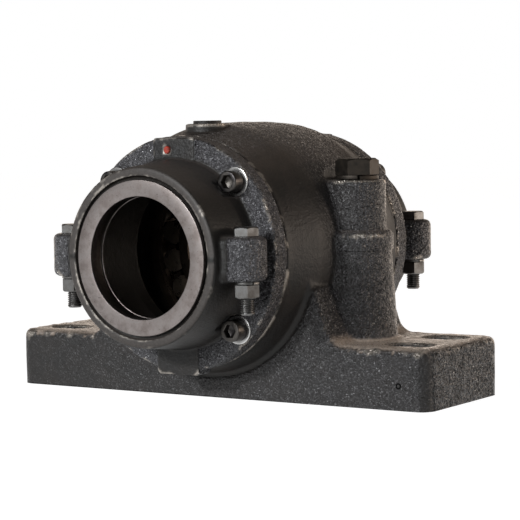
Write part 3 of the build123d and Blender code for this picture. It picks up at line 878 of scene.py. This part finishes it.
# %% Tree and finish
class Tree:
    """Nodes of one material or world. Most methods add a node and give back what comes out of it."""

    def __init__(self, owner):
        owner.use_nodes = True
        self.nodes = owner.node_tree.nodes
        self.links = owner.node_tree.links
        self.coordinates = self.nodes.new("ShaderNodeTexCoord").outputs

    def put(self, value, socket):
        """Links an output to the socket, or sets the socket to a number, a vector or a colour."""
        if isinstance(value, bpy.types.NodeSocket):
            self.links.new(value, socket)
        elif socket.type == "RGBA":
            socket.default_value = (*value, 1)
        else:
            socket.default_value = value

    def add(self, kind, **settings):
        """New node. A setting goes to the input of that name, or else to the node itself."""
        node = self.nodes.new(kind)
        for key, value in settings.items():
            if key in node.inputs:
                self.put(value, node.inputs[key])
            else:
                setattr(node, key, value)
        return node

    def number(self, name):
        """The number of that name that each vertex of the piece carries."""
        return self.add("ShaderNodeAttribute", attribute_name=name).outputs["Fac"]

    def grain(self, size, detail=3.0, roughness=0.6):
        """Noise whose lumps are about size metres wide."""
        texture = self.add("ShaderNodeTexNoise", Scale=1 / size, Detail=detail, Roughness=roughness,
                           Vector=self.coordinates["Object"])
        return texture.outputs["Fac"]

    def facets(self, size):
        """One random number and one random direction for each cell of about that size."""
        cells = self.add("ShaderNodeTexVoronoi", Scale=1 / size, Vector=self.coordinates["Object"])
        split = self.add("ShaderNodeSeparateColor", Color=cells.outputs["Color"])
        return split.outputs["Red"], self.vector("SUBTRACT", cells.outputs["Color"], (0.5, 0.5, 0.5))

    def axes(self, vector):
        """X, Y and Z of a vector."""
        return self.add("ShaderNodeSeparateXYZ", Vector=vector).outputs

    def vector(self, operation, first, second=None):
        """Vector sum on one or two values. With SCALE the second is a number."""
        node = self.add("ShaderNodeVectorMath", operation=operation)
        self.put(first, node.inputs[0])
        if second is not None:
            self.put(second, node.inputs["Scale" if operation == "SCALE" else 1])
        return node.outputs["Vector"]

    def combine(self, operation, first, *others):
        """Sum on numbers, taken two at a time from the left."""
        for other in others:
            node = self.add("ShaderNodeMath", operation=operation)
            self.put(first, node.inputs[0])
            self.put(other, node.inputs[1])
            first = node.outputs["Value"]
        return first

    def times(self, *values):
        """Product of the values."""
        return self.combine("MULTIPLY", *values)

    def plus(self, *values):
        """Sum of the values."""
        return self.combine("ADD", *values)

    def stretch(self, value, low, high, to_low=0.0, to_high=1.0):
        """Value between low and high, spread over to_low to to_high and held beyond them."""
        limits = {"From Min": low, "From Max": high, "To Min": to_low, "To Max": to_high}
        return self.add("ShaderNodeMapRange", Value=value, **limits).outputs["Result"]

    def blend(self, share, first, second):
        """Colour that goes from first to second with the share."""
        node = self.add("ShaderNodeMix", data_type="RGBA", Factor=share)
        self.put(first, node.inputs[6])
        self.put(second, node.inputs[7])
        return node.outputs[2]

    def bump(self, height, distance, strength, onto=None):
        """Normal tilted by a height, on top of another bump if one is given."""
        node = self.add("ShaderNodeBump", Strength=strength, Distance=distance, Height=height)
        if onto is not None:
            self.put(onto, node.inputs["Normal"])
        return node.outputs["Normal"]


class Finish(Tree):
    """Tree of a new material."""

    def __init__(self, name):
        self.material = bpy.data.materials.new(name)
        super().__init__(self.material)

    def show(self, looks):
        """Puts each value into the main shader's input of that name, and gives the material."""
        for key, value in looks.items():
            self.put(value, self.nodes["Principled BSDF"].inputs[key])
        return self.material


print("node helpers ready")

# %% [markdown]
# ## Painted cast iron
# Foundry paint is thin and nearly black. Dust turns it brown, and the sand grain shows through. The
# dust is painted pale enough on level faces to stand for their sheen as well.
# On the rough castings every grain is a tiny facet with a tone, a gloss and a lean of its own,
# which is what a cell texture gives. Plain bump alone looks like leather.

# %% Paint, sand and dust
PATCH_SIZE, PATCH_LEVELS = 28 * mm, (0.40, 0.68)
FINE_GRAIN = 1.7 * mm
COARSE_GRAIN = 3.6 * mm
GRAIN_LEVELS = (0.30, 0.62)
FACET_SIZE = 1.15 * mm
FINE_BUMP = (1.6 * mm, 0.9)
COARSE_BUMP = (2.2 * mm, 0.7)
FINE_IF_SMOOTH, COARSE_IF_SMOOTH = 0.15, 0.2
FACET_LEAN = 0.7
CLEAN_RELIEF, DUST_CALMS = 1.1, 0.85
GLINT = 3.5
GLINT_RARITY = 8.0
DULL_PAINT, GLOSSY_FACET = 0.52, 0.14
BARE_METAL = 0.7


def cast_skin(finish):
    """The mesh's three numbers, two grains and the facets, which colour and relief share."""
    skin = {name: finish.number(name) for name in ("rough", "worn", "dust")}
    skin["fine"] = finish.grain(FINE_GRAIN, 1.0, 0.5)
    skin["coarse"] = finish.grain(COARSE_GRAIN, 2.0, 0.5)
    skin["tone"], skin["lean"] = finish.facets(FACET_SIZE)
    return skin


def cast_colour(finish, skin, colours):
    """Paint in patches, sand where it is rough, painted glints on few facets, dust that also paints
    sheen, then bare edges that also paint highlights.
    """
    colour = finish.blend(finish.stretch(finish.grain(PATCH_SIZE), *PATCH_LEVELS),
                          colours["dark"], colours["brown"])
    sandy = finish.times(skin["rough"], finish.stretch(skin["coarse"], *GRAIN_LEVELS, 0.5, 1.0))
    colour = finish.blend(sandy, colour, colours["sand"])
    # Painted glints: a few bright grains in the colour.
    glint = finish.times(finish.combine("POWER", skin["tone"], GLINT_RARITY), skin["rough"])
    colour = finish.blend(glint, colour, tuple(GLINT * part for part in colours["sand"]))
    # Dust, which also paints the sheen of level faces and the lighter end faces of the covers' noses.
    dust_and_light_share = finish.times(skin["dust"], finish.stretch(skin["fine"], *GRAIN_LEVELS, 0.65, 1.0))
    colour = finish.blend(dust_and_light_share, colour, colours["dusty"])
    # Bare edges, partly wear and partly painted highlights.
    return finish.blend(skin["worn"], colour, colours["bare"])


def cast_relief(finish, skin):
    """Two bumps, then each facet leans its own way. All of them are calmer under dust."""
    calm = finish.combine("SUBTRACT", CLEAN_RELIEF, finish.times(skin["dust"], DUST_CALMS))
    fine = finish.times(skin["fine"], finish.plus(skin["rough"], FINE_IF_SMOOTH), calm)
    coarse = finish.times(skin["coarse"], finish.plus(skin["rough"], COARSE_IF_SMOOTH), calm)
    relief = finish.bump(coarse, *COARSE_BUMP, finish.bump(fine, *FINE_BUMP))
    lean = finish.vector("SCALE", skin["lean"], finish.times(skin["rough"], calm, FACET_LEAN))
    return finish.vector("NORMALIZE", finish.vector("ADD", relief, lean))


def cast_finish(name, **colours):
    """Painted casting. Facets with a bright tone are glossier, and bare edges are metal."""
    finish = Finish(name)
    skin = cast_skin(finish)
    shine = finish.times(skin["tone"], skin["rough"])
    return finish.show({"Base Color": cast_colour(finish, skin, colours),
                        "Metallic": finish.times(skin["worn"], BARE_METAL),
                        "Roughness": finish.stretch(shine, 0.0, 1.0, DULL_PAINT, GLOSSY_FACET),
                        "Specular IOR Level": 0.42,
                        "Normal": cast_relief(finish, skin)})


finishes = {
    # The dust colours also paint light: the sheen of level faces and the lighter nose ends. The bare
    # colours also paint edge highlights.
    "cast_iron_black": cast_finish("foundry_paint_housing", dark=(0.011, 0.0095, 0.008),
                                   brown=(0.022, 0.017, 0.014), sand=(0.047, 0.044, 0.045),
                                   dusty=(0.480, 0.385, 0.315), bare=(0.36, 0.32, 0.28)),
    "cover_iron": cast_finish("foundry_paint_cover", dark=(0.011, 0.0095, 0.008),
                              brown=(0.020, 0.016, 0.013), sand=(0.085, 0.082, 0.087),
                              dusty=(0.075, 0.064, 0.058), bare=(0.40, 0.36, 0.32)),
}
print("casting finishes:", [material.name for material in finishes.values()])

# %% [markdown]
# ## Metals
# The rings are bare, with a warm stain and small pits, and a bore painted dark as painted shade. The
# bolts are dark and oily, the washers have a polished rim that is painted bright as a highlight too,
# and the bearing is greased. All are the same tree with other numbers:
# colour, stain, and how far the roughness wanders.

# %% Bare and darkened steel
STAIN_SIZE, STAIN_LEVELS = 9 * mm, (0.38, 0.66)
PIT_SIZE, PIT_LEVELS = 1.6 * mm, (0.66, 0.74)
PIT_COLOUR = (0.05, 0.035, 0.03)
SCRATCH_SIZE = 0.7 * mm
SCRATCH_DEPTH = 0.06 * mm


def steel_finish(name, clean, stained, smooth, dull, pits=0.0, scratched=0.35, rim=None):
    """Steel whose colour and gloss drift between two states.

    Where the piece's own number called rim is 0, it keeps the dark colour given as rim instead, which on
    a ring is painted shade in its bore.
    """
    finish = Finish(name)
    stain = finish.stretch(finish.grain(STAIN_SIZE, 4.0), *STAIN_LEVELS)
    pit = finish.times(finish.stretch(finish.grain(PIT_SIZE, 2.0), *PIT_LEVELS), pits)
    colour = finish.blend(pit, finish.blend(stain, clean, stained), PIT_COLOUR)
    if rim is not None:
        colour = finish.blend(finish.number("rim"), rim, colour)
    return finish.show({"Base Color": colour,
                        "Metallic": 1.0,
                        "Roughness": finish.stretch(stain, 0.0, 1.0, smooth, dull),
                        "Normal": finish.bump(finish.grain(SCRATCH_SIZE, 2.0), SCRATCH_DEPTH,
                                              scratched)})


finishes.update({
    # The ring's rim colour is the painted shade of its bore.
    "ring_steel": steel_finish("turned_ring_steel", clean=(0.33, 0.29, 0.275),
                               stained=(0.20, 0.168, 0.156), smooth=0.34, dull=0.48, pits=0.8,
                               rim=(0.030, 0.024, 0.020)),
    "bolt_dark": steel_finish("dark_bolt_steel", clean=(0.046, 0.040, 0.035),
                              stained=(0.070, 0.058, 0.048), smooth=0.50, dull=0.64, pits=0.3),
    "screw_black": steel_finish("black_screw_steel", clean=(0.060, 0.055, 0.055),
                                stained=(0.11, 0.10, 0.09), smooth=0.28, dull=0.46),
    # The washer's bright colour shows only on its rubbed rim, partly wear and partly a painted highlight.
    "washer_steel": steel_finish("rubbed_glinting_washer_steel", clean=(0.80, 0.78, 0.76),
                                 stained=(0.62, 0.60, 0.58), smooth=0.22, dull=0.36,
                                 rim=(0.030, 0.027, 0.025)),
    "bolt_steel": steel_finish("grey_bolt_steel", clean=(0.20, 0.195, 0.19),
                               stained=(0.10, 0.092, 0.085), smooth=0.30, dull=0.48, pits=0.5),
    "cage_steel": steel_finish("pressed_cage_steel", clean=(0.055, 0.042, 0.032),
                               stained=(0.040, 0.030, 0.023), smooth=0.50, dull=0.60),
    "bearing_steel": steel_finish("greased_bearing_steel", clean=(0.20, 0.16, 0.125),
                                  stained=(0.13, 0.10, 0.075), smooth=0.26, dull=0.40,
                                  scratched=0.1),
})
print(len(finishes), "finishes so far")

# %% [markdown]
# ## Plug and mark
# The port on each cover's upper pad is stopped by a red plastic plug, with dirt in patches. The
# cast mark's ring is painted black as painted shade, and only its boss shows paint.

# %% Red plastic and painted shade
DIRT_SIZE, DIRT_LEVELS = 2.2 * mm, (0.45, 0.7)
DIRT_BUMP = (0.1 * mm, 0.3)


def plug_finish():
    """Red plastic that goes dark and slightly raised where the dirt is."""
    finish = Finish("red_plug_plastic")
    dirt = finish.stretch(finish.grain(DIRT_SIZE), *DIRT_LEVELS)
    red, dirty_red = (0.50, 0.045, 0.02), (0.16, 0.03, 0.02)
    return finish.show({"Base Color": finish.blend(dirt, red, dirty_red),
                        "Roughness": 0.5,
                        "Normal": finish.bump(dirt, *DIRT_BUMP)})


def mark_finish():
    """Black in the ring as painted shade, grey paint on the boss."""
    finish = Finish("cast_mark_painted_shade")
    # The ring's black is the painted shade of the mark's hollow.
    painted_shade, grey_paint = (0.003, 0.003, 0.003), (0.075, 0.070, 0.068)
    return finish.show({"Base Color": finish.blend(finish.number("boss"), painted_shade, grey_paint),
                        "Roughness": 0.8,
                        "Specular IOR Level": 0.1})


finishes["plug_red"] = plug_finish()
finishes["cast_mark"] = mark_finish()
print("plug and mark finishes ready")

# %% [markdown]
# ## A finish on every piece
# The made pieces carry the name of their slot, which is also the name of their finish. Pieces of
# the frame that weren't replaced, such as the bearing, are named here instead.

# %% Finish on every piece
FINISH_OF_NODE = {"filler_plug": "cast_iron_black", "bearing_cage": "cage_steel",
                  "bearing_rollers": "bearing_steel", "bearing_inner_ring": "bearing_steel",
                  "bearing_outer_ring": "bearing_steel", "front_port_plug": "plug_red",
                  "rear_port_plug": "plug_red"}


def finish_piece(piece, finish_name):
    """Makes the finish the piece's only material."""
    piece.data.materials.clear()
    piece.data.materials.append(finishes[finish_name])


for node, solid in frame["nodes"].items():
    if not solid.hide_render:
        finish_piece(solid, FINISH_OF_NODE.get(node, "bolt_dark"))
made = [piece for piece in bpy.data.objects if piece.type == "MESH" and "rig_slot" in piece]
for piece in made:
    finish_piece(piece, "cast_mark" if piece == mark else piece["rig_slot"])
print(len(made), "made pieces carry a finish")

# %% [markdown]
# ## Floor and sky
# The block stands on a pale floor under a pale sky. The camera sees both as white, but what the
# dark paint mirrors is set apart from that: dim in front, bright and warm behind, which draws a
# warm light round edges that turn away. A picture of a studio could do the same, but a few ramps
# need no image. Each ramp is given as where it starts and ends, then the glow at either end.

# %% Floor and background
FLOOR_REACH = 6.0
COOL = (0.95, 0.98, 1.0)
WARM_FLOOR = (1.0, 0.84, 0.70)
WARM_SKY = (1.0, 0.86, 0.74)
SEEN_FLOOR = (0.97, 0.97, 0.97)
SEEN_SKY = (1.0, 1.0, 1.0)
FLOOR_TO_BACK = (-0.8, 1.2, 0.15, 1.40)
FLOOR_TO_RIGHT = (-0.5, 0.5, 0.45, 0.0)
SKY_UPWARDS = (0.04, 0.34, 1.0, 0.08)
SKY_TO_BACK = (-0.2, 0.6, 0.35, 2.2)


def pale_floor():
    """Square floor whose glow in mirrors grows towards the back, and a little to the left."""
    reach = FLOOR_REACH
    mesh = bpy.data.meshes.new("floor")
    corners = [(-reach, -reach, 0), (reach, -reach, 0), (reach, reach, 0), (-reach, reach, 0)]
    mesh.from_pydata(corners, [], [(0, 1, 2, 3)])
    finish = Finish("pale_floor")
    place = finish.axes(finish.coordinates["Object"])
    ray = finish.add("ShaderNodeLightPath").outputs
    glow = finish.plus(finish.stretch(place["Y"], *FLOOR_TO_BACK),
                       finish.stretch(place["X"], *FLOOR_TO_RIGHT))
    tint = finish.blend(finish.stretch(place["Y"], -0.2, 1.0), COOL, WARM_FLOOR)
    finish.show({"Base Color": (0.24, 0.24, 0.24),
                 "Roughness": 0.9,
                 "Specular IOR Level": 0.0,
                 "Emission Color": finish.blend(ray["Is Camera Ray"], tint, SEEN_FLOOR),
                 "Emission Strength": finish.plus(ray["Is Camera Ray"],
                                                  finish.times(ray["Is Glossy Ray"], glow))})
    mesh.materials.append(finish.material)
    linked("floor", mesh)


def pale_sky():
    """World that is white to the camera, and otherwise bright low down behind and dim above."""
    world = bpy.data.worlds.new("pale_sky")
    bpy.context.scene.world = world
    tree = Tree(world)
    direction = tree.axes(tree.coordinates["Generated"])
    ray = tree.add("ShaderNodeLightPath").outputs
    glow = tree.times(tree.stretch(direction["Z"], *SKY_UPWARDS),
                      tree.stretch(direction["Y"], *SKY_TO_BACK),
                      tree.combine("SUBTRACT", 1.0, ray["Is Camera Ray"]))
    tint = tree.blend(tree.stretch(direction["Y"], -0.1, 0.5), COOL, WARM_SKY)
    sky = tree.nodes["Background"].inputs
    tree.put(tree.blend(ray["Is Camera Ray"], tint, SEEN_SKY), sky["Color"])
    tree.put(tree.plus(glow, ray["Is Camera Ray"]), sky["Strength"])


pale_floor()
pale_sky()
print("floor and sky ready")

# %% [markdown]
# ## Lamps
# One wide soft box lights the front. Two small lamps put small sharp glints on the sand and on
# the bolts, which a soft box alone leaves dull.

# %% Soft box and small lamps
SPARK_SIZE = 0.16


def soft_box(name, place, width, height, power, colour):
    """Rectangular lamp that faces the shaft's middle."""
    lamp = bpy.data.lights.new(name, "AREA")
    lamp.shape = "RECTANGLE"
    lamp.size, lamp.size_y = width, height
    lamp.energy = power
    lamp.color = colour
    box = linked(name, lamp)
    box.location = place
    to_shaft = Vector((0, 0, AXIS_Z)) - Vector(place)
    box.rotation_euler = to_shaft.to_track_quat("-Z", "Y").to_euler()


soft_box("front_box", (0.0, -2.0, 0.75), width=1.3, height=0.8, power=18, colour=COOL)
soft_box("front_spark", (-0.45, -2.0, 0.80), SPARK_SIZE, SPARK_SIZE, power=16, colour=COOL)
soft_box("back_spark", (1.70, 0.95, 0.35), SPARK_SIZE, SPARK_SIZE, power=6, colour=WARM_SKY)
print("one soft box and two small lamps")

# %% [markdown]
# ## Camera
# The block is seen from the front right, a little above the shaft, through a long lens that keeps
# its lines nearly parallel. The camera's own right and up directions are given, because it leans
# slightly to one side, which a target point alone can't say.

# %% Camera
LENS_MM = 136.06
camera_place = Vector((0.96227, -1.42287, 0.23072))
camera_right = Vector((0.831867, 0.554687, -0.017901))
camera_up = Vector((-0.023151, 0.066910, 0.997490))
camera_back = camera_right.cross(camera_up)
camera = linked("camera", bpy.data.cameras.new("camera"))
camera.data.sensor_width = 36.0
camera.data.lens = LENS_MM
axes = Matrix((camera_right, camera_up, camera_back)).transposed().to_4x4()
camera.matrix_world = Matrix.Translation(camera_place) @ axes
bpy.context.scene.camera = camera
bpy.context.scene.view_settings.view_transform = "Standard"
print("camera at", tuple(round(part, 3) for part in camera_place))
